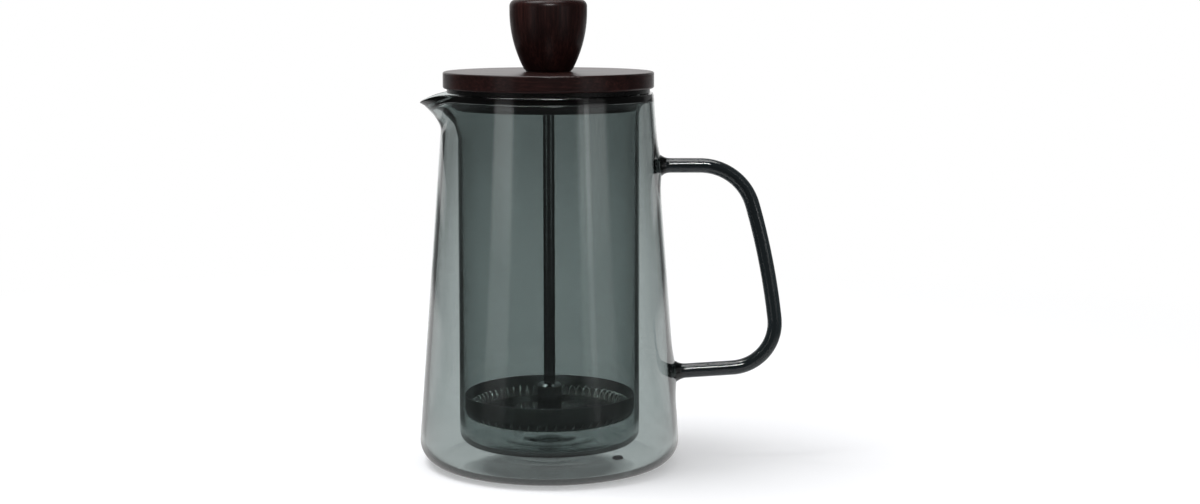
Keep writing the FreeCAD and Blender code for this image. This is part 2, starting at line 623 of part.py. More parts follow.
def make_lid_insert():
    """The moulded insert: a flange on the rim, a skirt for the seal, a boss for the rod's sleeve and ribs."""
    bead_top = f"({FLANGE_FOOT} - bead_drop)"
    skirt_foot = f"({FLANGE_FOOT} - skirt_depth)"
    skirt_bore = f"({SKIRT_RADIUS} - skirt_wall)"
    flange_radius = f"({MOUTH_RADIUS} - flange_inset)"
    body = turned_body("lid_insert", [
        (BUSH_HOLE, BOSS_FOOT),
        ("boss_radius", BOSS_FOOT),
        ("boss_radius", FLANGE_FOOT),
        (skirt_bore, FLANGE_FOOT),
        (skirt_bore, skirt_foot),
        (SKIRT_RADIUS, skirt_foot),
        (SKIRT_RADIUS, f"{bead_top} - bead_width"),
        (f"{SKIRT_RADIUS} + bead_height", f"{bead_top} - bead_width"),
        (f"{SKIRT_RADIUS} + bead_height", bead_top),
        (SKIRT_RADIUS, bead_top),
        (SKIRT_RADIUS, FLANGE_FOOT),
        (flange_radius, FLANGE_FOOT),
        (flange_radius, LID_FOOT),
        (BUSH_HOLE, LID_FOOT),
    ])
    sketch = new_sketch(body, "RibOutline", TOP, FLANGE_FOOT)
    inner, outer = f"((boss_radius + {BUSH_HOLE}) / 2)", f"({SKIRT_RADIUS} - skirt_wall / 2)"
    half = "(rib_thickness / 2)"
    rib_angle = "(180 / rib_count * 1 deg)"
    corners = []
    for reach, side in ((inner, "-"), (outer, "-"), (outer, ""), (inner, "")):
        corners.append((
            f"{reach} * cos({rib_angle}) - ({side}{half}) * sin({rib_angle})",
            f"{reach} * sin({rib_angle}) + ({side}{half}) * cos({rib_angle})",
        ))
    draw_outline(sketch, corners)
    rib = body.newObject("PartDesign::Pad", "Rib")
    rib.Profile = sketch
    rib.setExpression("Length", sized("rib_depth"))
    rib.Reversed = True
    doc.recompute()
    repeated(body, "Ribs", [rib], "rib_count")
    hole = drilled(body, "ScrewHole", "screw_diameter / 2 + running_clearance", "screw_circle", "0",
                   FLANGE_FOOT, f"{LID_FOOT} + {OVERRUN}")
    repeated(body, "ScrewHoles", [hole], "screw_count")
    return body


def make_lid_screws():
    """The screws that hold the insert to the wood, with domed heads under the flange."""
    body = new_body("lid_screws")
    body.AllowCompound = True
    screw = new_sketch(body, "ScrewOutline", FRONT)
    head_foot = f"({FLANGE_FOOT} - screw_head_height)"
    draw_outline(screw, [
        ("screw_circle", head_foot),
        ("screw_circle + screw_crown / 2", head_foot),
        ("screw_circle + screw_head / 2", f"{FLANGE_FOOT} - screw_edge"),
        ("screw_circle + screw_head / 2", FLANGE_FOOT),
        ("screw_circle + screw_diameter / 2", FLANGE_FOOT),
        ("screw_circle + screw_diameter / 2", f"{SCREW_TIP} - screw_point"),
        ("screw_circle", SCREW_TIP),
    ])
    turning = body.newObject("PartDesign::Revolution", "Screw")
    turning.Profile = screw
    turning.ReferenceAxis = (screw, [f"Edge{screw.GeometryCount}"])
    turning.Angle = 360
    doc.recompute()
    slot = new_sketch(body, "SlotOutline", TOP, f"{head_foot} - {OVERRUN}")
    draw_outline(slot, [
        ("screw_circle - slot_length / 2", "-slot_width / 2"),
        ("screw_circle + slot_length / 2", "-slot_width / 2"),
        ("screw_circle + slot_length / 2", "slot_width / 2"),
        ("screw_circle - slot_length / 2", "slot_width / 2"),
    ])
    groove = raised(body, "Pocket", "Slot", slot, f"slot_depth + {OVERRUN}")
    repeated(body, "Screws", [turning, groove], "screw_count")
    return body


def make_lid_gasket():
    """The silicone ring on the skirt, grooved inside for the skirt's bead."""
    top = f"({FLANGE_FOOT} - seal_clearance)"
    foot = f"({FLANGE_FOOT} - skirt_depth)"
    groove = f"({SEAL_BORE} + bead_height)"
    groove_top = f"({FLANGE_FOOT} - bead_drop + seal_clearance)"
    groove_foot = f"({groove_top} - bead_width - 2 * seal_clearance)"
    return turned_body("lid_gasket", [
        (SEAL_BORE, foot),
        (f"{SEAL_RADIUS} - seal_round", foot, "seal_round"),
        (SEAL_RADIUS, f"{foot} + seal_round"),
        (SEAL_RADIUS, top),
        (SEAL_BORE, top),
        (SEAL_BORE, groove_top),
        (groove, groove_top),
        (groove, groove_foot),
        (SEAL_BORE, groove_foot),
    ])


def make_rod_bush():
    """The steel sleeve in which the rod slides, with a flange let into the lid."""
    flange_foot = f"({LID_TOP} - bush_flange_thickness)"
    return turned_body("rod_bush", [
        (BUSH_BORE, BUSH_FOOT),
        (BUSH_RADIUS, BUSH_FOOT),
        (BUSH_RADIUS, flange_foot),
        ("bush_flange", flange_foot),
        ("bush_flange", f"{LID_TOP} - bush_chamfer"),
        ("bush_flange - bush_chamfer", LID_TOP),
        (f"{BUSH_BORE} + bush_lead_in", LID_TOP),
        (BUSH_BORE, f"{LID_TOP} - bush_lead_in"),
    ])


def make_bush_clip():
    """The spring clip that keeps the sleeve in the boss."""
    body = turned_body("bush_clip", [
        (BUSH_RADIUS, f"{CLIP_TOP} - clip_thickness"),
        (f"{BUSH_RADIUS} + clip_width", f"{CLIP_TOP} - clip_thickness"),
        (f"{BUSH_RADIUS} + clip_width", CLIP_TOP),
        (BUSH_RADIUS, CLIP_TOP),
    ])
    outer = f"({BUSH_RADIUS} + clip_width + {OVERRUN})"
    sketch = new_sketch(body, "MouthOutline", TOP, f"{CLIP_TOP} - clip_thickness - {OVERRUN}")
    draw_outline(sketch, [
        ("0", "-clip_mouth / 2"),
        (outer, "-clip_mouth_outside / 2"),
        (outer, "clip_mouth_outside / 2"),
        ("0", "clip_mouth / 2"),
    ])
    raised(body, "Pocket", "Mouth", sketch, f"clip_thickness + 2 * {OVERRUN}")
    return body


def make_knob():
    """The turned wooden knob, one long arc from its foot to its widest part."""
    side = "(((knob_radius - knob_foot)^2 + knob_widest^2) / (2 * (knob_radius - knob_foot)))"
    insert_top = f"({KNOB_FOOT} + insert_recess + insert_length)"
    top = f"({KNOB_FOOT} + knob_height)"
    body = turned_body("knob", [
        ("0", f"{insert_top} + drill_point"),
        ("insert_radius + running_clearance", insert_top),
        ("insert_radius + running_clearance", KNOB_FOOT),
        ("knob_foot", KNOB_FOOT, side),
        ("knob_radius", f"{KNOB_FOOT} + knob_widest"),
        ("knob_radius", top),
        ("0", top),
    ])
    rounded(body, "TopEdge", "knob_top_round", [("knob_radius", top)])
    rounded(body, "FootEdge", "knob_foot_round", [("knob_foot", KNOB_FOOT)])
    return body


def make_knob_insert():
    """The threaded brass insert in the knob, with a knurling groove round its middle."""
    foot = f"({KNOB_FOOT} + insert_recess)"
    middle, waist = f"({foot} + insert_length / 2)", "insert_radius - insert_groove_depth"
    return turned_body("knob_insert", [
        (THREAD_HOLE, foot),
        ("insert_radius", foot),
        ("insert_radius", f"{middle} - insert_groove / 2"),
        (waist, f"{middle} - insert_groove / 2 + insert_groove_depth"),
        (waist, f"{middle} + insert_groove / 2 - insert_groove_depth"),
        ("insert_radius", f"{middle} + insert_groove / 2"),
        ("insert_radius", f"{foot} + insert_length"),
        (THREAD_HOLE, f"{foot} + insert_length"),
    ])


def make_plunger_rod():
    """The straight steel rod, from below the filter's nut to inside the knob."""
    foot = f"({NUT_TOP} - nut_height - rod_tail)"
    top = f"({KNOB_FOOT} + insert_recess + rod_engagement)"
    body = turned_body("plunger_rod", [("0", foot), (ROD_RADIUS, foot), (ROD_RADIUS, top), ("0", top)])
    rounded(body, "Ends", "rod_chamfer", [(ROD_RADIUS, foot), (ROD_RADIUS, top)], "Chamfer")
    return body


def make_filter_hub():
    """The round nut that clamps the filter's plates from above."""
    top = f"({HUB_FOOT} + hub_height)"
    body = turned_body("filter_hub", [
        (THREAD_HOLE, HUB_FOOT),
        ("hub_radius", HUB_FOOT),
        ("hub_radius", top),
        (THREAD_HOLE, top),
    ])
    rounded(body, "Edge", "hub_chamfer", [("hub_radius", top)], "Chamfer")
    return body


def make_spiral_plate():
    """The upper plate, with a turned-up rim inside the spring and two rings of holes."""
    body = turned_body("spiral_plate", [
        (THREAD_HOLE, SPIRAL_FOOT),
        (SPIRAL_RADIUS, SPIRAL_FOOT),
        (SPIRAL_RADIUS, f"{SPIRAL_FOOT} + spiral_rim"),
        (f"{SPIRAL_RADIUS} - spiral_gauge", f"{SPIRAL_FOOT} + spiral_rim"),
        (f"{SPIRAL_RADIUS} - spiral_gauge", HUB_FOOT),
        (THREAD_HOLE, HUB_FOOT),
    ])
    top = f"{HUB_FOOT} + {OVERRUN}"
    hole = drilled(body, "Hole", "spiral_hole / 2", "spiral_ring", "0", SPIRAL_FOOT, top)
    repeated(body, "Holes", [hole], "spiral_hole_count")
    inner = drilled(body, "InnerHole", "spiral_hole / 2", "spiral_inner_ring", "0", SPIRAL_FOOT, top)
    repeated(body, "InnerHoles", [inner], "spiral_inner_count")
    return body


def make_coil_spring():
    """The spring round the filter. Each turn is a closed ring that leans like a turn of the real helix."""
    reach = value("coil_diameter") / 2
    ring = value(COIL_OUTSIDE) - reach
    height = value(f"{SPIRAL_FOOT} + coil_clearance") + reach
    wire = value("coil_wire") / 2
    turns = []
    count = round(value("coil_count"))
    for number in range(count):
        turn = Part.makeTorus(reach - wire, wire)
        turn.rotate(Vector(0, 0, 0), Vector(1, 0, 0), 90)
        turn.rotate(Vector(0, 0, 0), Vector(0, 0, 1), value("coil_angle"))
        turn.translate(Vector(ring, 0, height))
        turn.rotate(Vector(0, 0, 0), Vector(0, 0, 1), 360 * number / count)
        turns.append(turn)
    spring = doc.addObject("Part::Feature", "coil_spring")
    spring.Label = "coil_spring"
    spring.Shape = Part.makeCompound(turns)
    return spring


def make_mesh_screen():
    """The fine screen, turned up round the spring into a shallow pan."""
    wall = f"({SCREEN_RADIUS} - screen_gauge)"
    corner = f"{SCREEN_RADIUS} - screen_corner"
    top = f"({SCREEN_FOOT} + screen_height)"
    return turned_body("mesh_screen", [
        (THREAD_HOLE, SCREEN_FOOT),
        (corner, SCREEN_FOOT, "screen_corner"),
        (SCREEN_RADIUS, f"{SCREEN_FOOT} + screen_corner"),
        (SCREEN_RADIUS, top),
        (wall, top),
        (wall, f"{SCREEN_FOOT} + screen_corner", "-(screen_corner - screen_gauge)"),
        (corner, SPIRAL_FOOT),
        (THREAD_HOLE, SPIRAL_FOOT),
    ])


def make_cross_plate():
    """The lower plate, perforated by two rings of holes."""
    radius = f"({SCREEN_RADIUS} - cross_inset)"
    body = turned_body("cross_plate", [
        (THREAD_HOLE, "filter_rest"),
        (radius, "filter_rest"),
        (radius, SCREEN_FOOT),
        (THREAD_HOLE, SCREEN_FOOT),
    ])
    top = f"{SCREEN_FOOT} + {OVERRUN}"
    hole = drilled(body, "Hole", "cross_hole / 2", "cross_ring", "0", "filter_rest", top)
    repeated(body, "Holes", [hole], "cross_hole_count")
    inner = drilled(body, "InnerHole", "cross_inner_hole / 2", "cross_inner_ring", "0", "filter_rest", top)
    repeated(body, "InnerHoles", [inner], "cross_inner_count")
    return body


def make_filter_washer():
    return turned_body("filter_washer", [
        (THREAD_HOLE, NUT_TOP),
        ("washer_radius", NUT_TOP),
        ("washer_radius", "filter_rest"),
        (THREAD_HOLE, "filter_rest"),
    ])


def make_filter_nut():
    """The hexagonal nut that closes the stack from below."""
    body = new_body("filter_nut")
    foot = f"({NUT_TOP} - nut_height)"
    corners = []
    for side in range(6):
        turn = f"({60 * side} * 1 deg)"
        along = f"nut_flats / 2 / cos(30 * 1 deg) * sin({turn})" if side % 3 else "0"
        corners.append((f"nut_flats / 2 / cos(30 * 1 deg) * cos({turn})", along))
    sketch = new_sketch(body, "Hexagon", TOP, foot)
    draw_outline(sketch, corners)
    raised(body, "Pad", "Prism", sketch, "nut_height")
    drilled(body, "Thread", THREAD_HOLE, "0", "0", foot, f"{NUT_TOP} + {OVERRUN}")
    return body


MAKERS = (
    make_outer_glass, make_inner_glass, make_vent_plug, make_glass_handle,
    make_lid_gasket, make_lid_disc, make_lid_insert, make_lid_screws, make_rod_bush, make_bush_clip,
    make_knob, make_knob_insert, make_plunger_rod, make_filter_hub, make_spiral_plate, make_coil_spring,
    make_mesh_screen, make_cross_plate, make_filter_washer, make_filter_nut,
)
pieces = [make() for make in MAKERS]
doc.recompute()

for item in doc.Objects:
    assert not {"Invalid", "Error"} & set(item.State), f"{item.Label} did not recompute: {item.State}"
for piece in pieces:
    shape = piece.Shape
    assert not shape.isNull() and shape.isValid() and shape.Solids, f"{piece.Label} has no valid shape"

os.makedirs("parts", exist_ok=True)
for piece in pieces:
    piece.Shape.exportStep(f"parts/{piece.Label}.step")
    box = piece.Shape.BoundBox
    print(f"{piece.Label:14s} {len(piece.Shape.Solids):3d} solids {piece.Shape.Volume:10.1f} mm3"
          f"  x {box.XMin:7.2f} {box.XMax:7.2f}  y {box.YMin:7.2f} {box.YMax:7.2f}"
          f"  z {box.ZMin:7.2f} {box.ZMax:7.2f}")
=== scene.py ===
import math

import bpy
import numpy as np
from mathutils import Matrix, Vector


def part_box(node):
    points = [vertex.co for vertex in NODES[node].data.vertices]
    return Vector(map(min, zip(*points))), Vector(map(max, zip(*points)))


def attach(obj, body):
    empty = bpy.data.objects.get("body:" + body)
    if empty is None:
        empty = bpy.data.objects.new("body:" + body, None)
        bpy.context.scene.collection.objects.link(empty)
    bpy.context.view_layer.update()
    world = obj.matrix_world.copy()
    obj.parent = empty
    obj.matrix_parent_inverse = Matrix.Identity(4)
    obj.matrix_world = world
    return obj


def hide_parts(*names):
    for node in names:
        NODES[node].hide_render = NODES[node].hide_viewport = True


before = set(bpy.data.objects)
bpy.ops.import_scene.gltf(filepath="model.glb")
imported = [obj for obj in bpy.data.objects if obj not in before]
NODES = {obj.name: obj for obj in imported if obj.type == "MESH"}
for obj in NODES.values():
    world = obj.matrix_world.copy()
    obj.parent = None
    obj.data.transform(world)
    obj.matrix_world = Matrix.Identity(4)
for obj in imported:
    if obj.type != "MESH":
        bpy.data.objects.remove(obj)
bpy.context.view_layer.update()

MM = 0.001


# ---------------------------------------------------------------- measures in millimetres
def extent(node):
    """Lowest and highest corner of a CAD node."""
    low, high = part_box(node)
    return low / MM, high / MM


def height_span(node):
    low, high = extent(node)
    return low.z, high.z


def radius_of(node):
    low, high = extent(node)
    return (high.y - low.y) / 2


TOP = height_span("outer_glass")[1]  # the rim
BORE = radius_of("mesh_screen") + 0.4  # the screen's edge stands 0.4 mm inside the bore
MOUTH = BORE + 7.65  # where the slanted side would meet the rim's height
FOOT = 57.0  # where the slanted side would meet the ground
LEAN = (FOOT - MOUTH) / TOP
SLOPE = math.hypot(1.0, LEAN)
TILT = math.degrees(math.atan(LEAN))
OUTER_WALL = 2.0
INNER_WALL = 1.8
FOOT_WALL = 2.4
FOOT_CORNER = 10.0
CAVITY_CORNER = 7.8
FLOOR_FOOT, _ = height_span("inner_glass")
FLOOR = FLOOR_FOOT + INNER_WALL
FLOOR_CORNER = 3.4
RING_STEP = 1.5  # between the mesh's rings on the flat floors

RIM_RADIUS = 0.89
RIM_MIDDLE = 43.96
FLARE = 10.0
MOUTH_END = TOP - 19.0  # where the straight bore ends below the flare

SPOUT_REACH = 54.9
SPOUT_LIP = 0.55
SPOUT_START = TOP - 16.0
SPOUT_HALF_ANGLE = math.radians(40.0)
# the middle of the spout, from its tip into the bore: inside of the chamber, and the space between the walls
SPOUT_INSIDE = [
    (51.5, 156.1), (49.5, 155.7), (45.5, 154.5), (42.6, 152.7), (40.5, 150.6), (38.9, 147.4), (37.9, 144.2),
    (BORE, MOUTH_END),
]
SPOUT_CAVITY = [
    (45.0, 147.0), (46.9, 149.6), (48.6, 151.8), (49.7, 153.1), (49.55, 153.6), (48.6, 153.55), (46.0, 152.7),
    (43.4, 150.9), (41.4, 148.4), (40.1, 145.6), (BORE + INNER_WALL, MOUTH_END),
]

HANDLE_ROOTS = (128.7, 38.74)  # heights of the handle's two feet on the wall
HANDLE_RADIUS = 3.15
HANDLE_FLARE = 1.5
HANDLE_STRAIGHT = 64.9  # how far out the upper arm runs straight
HANDLE_BENDS = ((23.5, 73.8), (307.0, 9.45), (19.4, 93.0))  # radius and angle of each bend, from the top
SWELLING = 1.15  # how far the wall's outside is drawn out round each foot of the handle
SWELLING_WIDTH = 5.2
SWELLING_RADIUS = 48.0  # about the wall's radius there

RIPPLE = 0.10  # rings in the glass floors, with a boss in the middle
RIPPLE_TURN = 0.72
RIPPLE_REACH = 26.0
BOSS = 0.85
BOSS_RADIUS = 5.2
FLOOR_SHARE = 0.8  # of the ripple, on each face of the chamber's floor


# ---------------------------------------------------------------- mesh helpers
def new_object(name, vertices, faces, smooth_angle):
    """A mesh object from points in millimetres; edges sharper than the angle stay sharp."""
    mesh = bpy.data.meshes.new(name)
    mesh.from_pydata((np.asarray(vertices, float) * MM).tolist(), [], faces)
    mesh.validate()
    mesh.shade_smooth()
    if smooth_angle is not None:
        mesh.set_sharp_from_angle(angle=math.radians(smooth_angle))
    thing = bpy.data.objects.new(name, mesh)
    bpy.context.scene.collection.objects.link(thing)
    return thing


def arc(centre_x, centre_z, radius, start, end, count):
    """Points on an arc, with angles in degrees from the +x direction."""
    angles = np.radians(np.linspace(start, end, count))
    return [(centre_x + radius * math.cos(a), centre_z + radius * math.sin(a)) for a in angles]


def disc_outwards(height, radius):
    """A flat disc's rings, from its middle out."""
    return [(0.0, height)] + [(x, height) for x in np.arange(RING_STEP, radius, RING_STEP)]


def disc_inwards(height, radius):
    """A flat disc's rings, from its edge to its middle."""
    return [(x, height) for x in np.arange(radius, RING_STEP - 0.1, -RING_STEP)] + [(0.0, height)]


def spin_faces(rows, segments, closed):
    """Quads between rings; a ring that is a single point on the axis becomes a fan."""
    faces = []
    pairs = list(zip(rows, rows[1:]))
    if closed:
        pairs.append((rows[-1], rows[0]))
    for lower, upper in pairs:
        for k in range(segments):
            following = (k + 1) % segments
            if len(lower) == 1:
                faces.append((lower[0], upper[following], upper[k]))
            elif len(upper) == 1:
                faces.append((lower[k], lower[following], upper[0]))
            else:
                faces.append((lower[k], lower[following], upper[following], upper[k]))
    return faces


def lathe(name, outline, segments, closed=False, smooth_angle=50.0):
    """A turned part: the outline is (radius, height) in millimetres, run so that its left side is air."""
    vertices = []
    rows = []
    for radius, height in outline:
        if radius < 1e-6:
            rows.append([len(vertices)])
            vertices.append((0.0, 0.0, height))
            continue
        row = []
        for k in range(segments):
            angle = 2 * math.pi * k / segments
            row.append(len(vertices))
            vertices.append((radius * math.cos(angle), radius * math.sin(angle), height))
        rows.append(row)
    return new_object(name, vertices, spin_faces(rows, segments, closed), smooth_angle)


def lengths(points):
    """The length run at each point of a line."""
    gaps = np.linalg.norm(np.diff(points, axis=0), axis=1)
    return np.concatenate(([0.0], np.cumsum(gaps)))


def even(points, count):
    """The same line with its points at even steps of length."""
    points = np.asarray(points, float)
    length = lengths(points)
    marks = np.linspace(0.0, length[-1], count)
    return [tuple(np.interp(mark, length, points[:, axis]) for axis in (0, 1)) for mark in marks]


def along(points, count):
    """Points at even steps of length on a smooth curve through the given points."""
    points = np.asarray(points, float)
    gaps = np.linalg.norm(np.diff(points, axis=0), axis=1)
    knots = np.concatenate(([0.0], np.cumsum(np.sqrt(gaps))))
    slopes = np.gradient(points, knots, axis=0)
    fine = []
    for i in range(len(points) - 1):
        width = knots[i + 1] - knots[i]
        for u in np.linspace(0, 1, 40, endpoint=False):
            a = 2 * u**3 - 3 * u**2 + 1
            b = (u**3 - 2 * u**2 + u) * width
            c = -2 * u**3 + 3 * u**2
            d = (u**3 - u**2) * width
            fine.append(a * points[i] + b * slopes[i] + c * points[i + 1] + d * slopes[i + 1])
    fine.append(points[-1])
    return even(fine, count)


# ---------------------------------------------------------------- the double-walled vessel
def wall(height):
    """Radius of the vessel's slanted outside."""
    return FOOT - LEAN * height


def pulled(height):
    """Radius of the outside in the middle of the spout."""
    share = max(0.0, (height - SPOUT_START) / 12.0)
    return wall(height) + (SPOUT_REACH - wall(TOP - 4.0)) * share**1.6


def outer_sections():
    """The outside and the chamber, plain and through the spout.

    Both run from the foot's middle over the rim to the floor's middle.
    """
    corner_x = wall(0.0) - LEAN * FOOT_CORNER - FOOT_CORNER * SLOPE
    plain = disc_outwards(0.0, corner_x - 1.0)
    plain += arc(corner_x, FOOT_CORNER, FOOT_CORNER, -90.0, TILT, 18)
    plain += [(wall(z), z) for z in np.linspace(plain[-1][1], SPOUT_START, 90)[1:]]
    spout = list(plain)
    rim_z = TOP - RIM_RADIUS
    plain += [(wall(z), z) for z in np.linspace(SPOUT_START, rim_z, 18)[1:-1]]
    plain += arc(RIM_MIDDLE, rim_z, RIM_RADIUS, 0.0, 130.0, 10)
    spout += [(pulled(z), z) for z in np.linspace(SPOUT_START, TOP - 4.9, 18)[1:-1]]
    spout += arc(SPOUT_REACH - SPOUT_LIP, TOP - 4.25, SPOUT_LIP, -40.0, 80.0, 10)
    mouth = arc(BORE + FLARE, TOP - FLARE, FLARE, 130.0, 180.0, 22)
    mouth += [(BORE, z) for z in np.linspace(TOP - FLARE, MOUTH_END, 9)[1:]]
    count = len(mouth) + 1
    plain += even([plain[-1]] + mouth, count)[1:]
    spout += along([spout[-1]] + SPOUT_INSIDE, count)[1:]
    bore = [(BORE, z) for z in np.linspace(MOUTH_END, FLOOR + FLOOR_CORNER, 60)[1:]]
    bore += arc(BORE - FLOOR_CORNER, FLOOR + FLOOR_CORNER, FLOOR_CORNER, 0.0, -90.0, 16)[1:]
    bore += disc_inwards(FLOOR, BORE - FLOOR_CORNER - 1.0)
    return plain + bore, spout + bore


def cavity_sections():
    """The sealed space between the walls, plain and through the spout.

    Both run from the middle of the foot's wall round to the middle of the chamber's underside.
    """
    inset = OUTER_WALL * SLOPE
    corner_z = FOOT_WALL + CAVITY_CORNER
    corner_x = wall(corner_z) - inset - CAVITY_CORNER * SLOPE
    plain = disc_outwards(FOOT_WALL, corner_x - 1.0)
    plain += arc(corner_x, corner_z, CAVITY_CORNER, -90.0, TILT, 16)
    plain += [(wall(z) - inset, z) for z in np.linspace(plain[-1][1], SPOUT_START, 60)[1:]]
    spout = list(plain)
    seam_x = wall(TOP - 3.6) - inset
    top = [(wall(z) - inset, z) for z in np.linspace(SPOUT_START, TOP - 3.5, 12)]
    top += [(seam_x - 0.12, TOP - 3.12), (seam_x - 0.45, TOP - 2.92), (seam_x - 0.95, TOP - 3.05)]
    top += arc(BORE + FLARE, TOP - FLARE, FLARE - INNER_WALL, 125.0, 180.0, 14)
    top += [(BORE + INNER_WALL, MOUTH_END)]
    plain += even(top, 44)[1:]
    spout += along([(wall(SPOUT_START) - inset, SPOUT_START)] + SPOUT_CAVITY, 44)[1:]
    outside = BORE + INNER_WALL
    corner = FLOOR_CORNER + INNER_WALL
    inner_side = [(outside, z) for z in np.linspace(MOUTH_END, FLOOR_FOOT + corner, 50)[1:]]
    inner_side += arc(outside - corner, FLOOR_FOOT + corner, corner, 0.0, -90.0, 16)[1:]
    inner_side += disc_inwards(FLOOR_FOOT, outside - corner - 1.0)
    return plain + inner_side, spout + inner_side


def spout_weight(angle, height):
    """How far a point goes over to the spout's outline: 1 in its middle, 0 beside it."""
    share = min(1.0, max(0.0, (height - SPOUT_START) / 14.0))
    half = SPOUT_HALF_ANGLE * (0.80 + 0.20 * share)
    if abs(angle) >= half:
        return 0.0
    return ((1 + math.cos(math.pi * angle / half)) / 2) ** 1.5


def swelling(angle, height):
    """The wall's outside is drawn out a little round each foot of the handle."""
    across = abs(math.atan2(math.sin(angle), math.cos(angle))) * SWELLING_RADIUS
    rise = 0.0
    for root in HANDLE_ROOTS:
        rise += SWELLING * math.exp(-(across**2 + (height - root) ** 2) / (2 * SWELLING_WIDTH**2))
    return rise


def ripple(radius):
    """Faint rings that pressing left in the glass floors."""
    rings = RIPPLE * (1.0 + math.cos(radius * RIPPLE_TURN)) * math.exp(-((radius / RIPPLE_REACH) ** 2))
    return rings + BOSS * math.exp(-((radius / BOSS_RADIUS) ** 2))


def ripple_share(part, height):
    """The foot's two faces follow the rings, and the chamber's floor is thicker where they are."""
    if height < 5.0:
        return 1.0
    return FLOOR_SHARE if part == 0 else -FLOOR_SHARE


def build_vessel():
    """Both walls as one glass body: its outer face, and the face of the space inside it."""
    segments = 288
    vertices = []
    faces = []
    for part, (plain, spout) in enumerate((outer_sections(), cavity_sections())):
        rows = []
        for (plain_x, plain_z), (spout_x, spout_z) in zip(plain, spout):
            if plain_x < 1e-6:
                rows.append([len(vertices)])
                vertices.append((0.0, 0.0, plain_z + ripple(0.0) * ripple_share(part, plain_z)))
                continue
            row = []
            for k in range(segments):
                angle = 2 * math.pi * k / segments
                from_spout = math.atan2(math.sin(angle - math.pi), math.cos(angle - math.pi))
                weight = spout_weight(from_spout, plain_z)
                radius = plain_x + (spout_x - plain_x) * weight
                height = plain_z + (spout_z - plain_z) * weight * weight
                if part == 0 and plain_x > BORE + 6.0 and plain_z > FOOT_CORNER:
                    radius += swelling(angle, height)
                if radius < 42.0 and height < 14.0:
                    height += ripple(radius) * ripple_share(part, plain_z)
                row.append(len(vertices))
                vertices.append((radius * math.cos(angle), radius * math.sin(angle), height))
            rows.append(row)
        quads = spin_faces(rows, segments, closed=False)
        faces += quads if part == 0 else [face[::-1] for face in quads]
    return new_object("double_wall_glass", vertices, faces, smooth_angle=None)


def wall_point(y, z):
    """x of the vessel's outside at a point of the handle's side."""
    radius = wall(z)
    angle = math.asin(max(-1.0, min(1.0, y / radius)))
    return math.cos(angle) * (radius + swelling(angle, z))


def handle_path():
    """The handle's centre line in the x-z plane, from its upper foot to its lower one."""
    x, z, heading = wall(HANDLE_ROOTS[0]) + 0.6, HANDLE_ROOTS[0], 0.0
    points = [(x, z)] + [(x + (HANDLE_STRAIGHT - x) * k / 40, z) for k in range(1, 41)]
    x = HANDLE_STRAIGHT
    for radius, angle in HANDLE_BENDS:
        start = math.radians(heading)
        centre_x, centre_z = x + radius * math.sin(start), z - radius * math.cos(start)
        steps = max(12, int(radius * math.radians(angle) / 0.9))
        for k in range(1, steps + 1):
            turn = math.radians(heading - angle * k / steps)
            points.append((centre_x - radius * math.sin(turn), centre_z + radius * math.cos(turn)))
        heading -= angle
        x, z = points[-1]
    ahead_x, ahead_z = math.cos(math.radians(heading)), math.sin(math.radians(heading))
    run = (x - wall_point(0.0, HANDLE_ROOTS[1])) / abs(ahead_x)
    points += [(x + run * k / 40 * ahead_x, z + run * k / 40 * ahead_z) for k in range(1, 41)]
    return points


def build_handle():
    """The glass rod of the handle, flared where it was fused to the wall."""
    segments = 48
    path = np.array(handle_path())
    length = lengths(path)
    tangents = np.gradient(path, axis=0)
    tangents /= np.linalg.norm(tangents, axis=1)[:, None]
    vertices = []
    rows = []
    for index, (x, z) in enumerate(path):
        from_end = min(length[index], length[-1] - length[index])
        upper = length[index] < length[-1] / 2
        root = path[0] if upper else path[-1]
        away = tangents[0] if upper else -tangents[-1]
        flare = max(0.0, 1.0 - from_end / 4.6)
        fade = max(0.0, 1.0 - from_end / 5.0) ** 2
        radius = HANDLE_RADIUS + HANDLE_FLARE * flare**2.5
        tx, tz = tangents[index]
        row = []
        for k in range(segments):
            turn = 2 * math.pi * k / segments
            side, up = radius * math.sin(turn), radius * math.cos(turn)
            point = np.array((x - tz * up, side, z + tx * up))
            if fade > 0:
                # near its foot each ring bends to the wall's own curve
                rx, rz = root[0] - tz * up, root[1] + tx * up
                shift = 0.0
                for _ in range(8):
                    shift = (wall_point(side, rz + shift * away[1]) + 0.03 - rx) / away[0]
                point += fade * shift * np.array((away[0], 0.0, away[1]))
            row.append(len(vertices))
            vertices.append(tuple(point))
        rows.append(row)
    for root in (path[0], path[-1]):
        vertices.append((wall_point(0.0, root[1]) + 0.1, 0.0, root[1]))
    rows = [[len(vertices) - 2]] + rows + [[len(vertices) - 1]]
    faces = [face[::-1] for face in spin_faces(rows, segments, closed=False)]
    return new_object("bent_glass_handle", vertices, faces, smooth_angle=50.0)


# ---------------------------------------------------------------- the plunger's screen, spring and knob
def tube(name, path, radius, segments):
    """A closed ring of round wire that follows a closed line."""
    path = np.asarray(path, float)
    tangents = np.roll(path, -1, axis=0) - np.roll(path, 1, axis=0)
    tangents /= np.linalg.norm(tangents, axis=1)[:, None]
    vertices = []
    rows = []
    for centre, tangent in zip(path, tangents):
        outward = np.array((centre[0], centre[1], 0.0))
        outward /= np.linalg.norm(outward)
        normal = outward - tangent * (outward @ tangent)
        normal /= np.linalg.norm(normal)
        other = np.cross(tangent, normal)
        row = []
        for k in range(segments):
            turn = 2 * math.pi * k / segments
            row.append(len(vertices))
            vertices.append(tuple(centre + radius * (math.cos(turn) * normal + math.sin(turn) * other)))
        rows.append(row)
    return new_object(name, vertices, spin_faces(rows, segments, closed=True), smooth_angle=None)


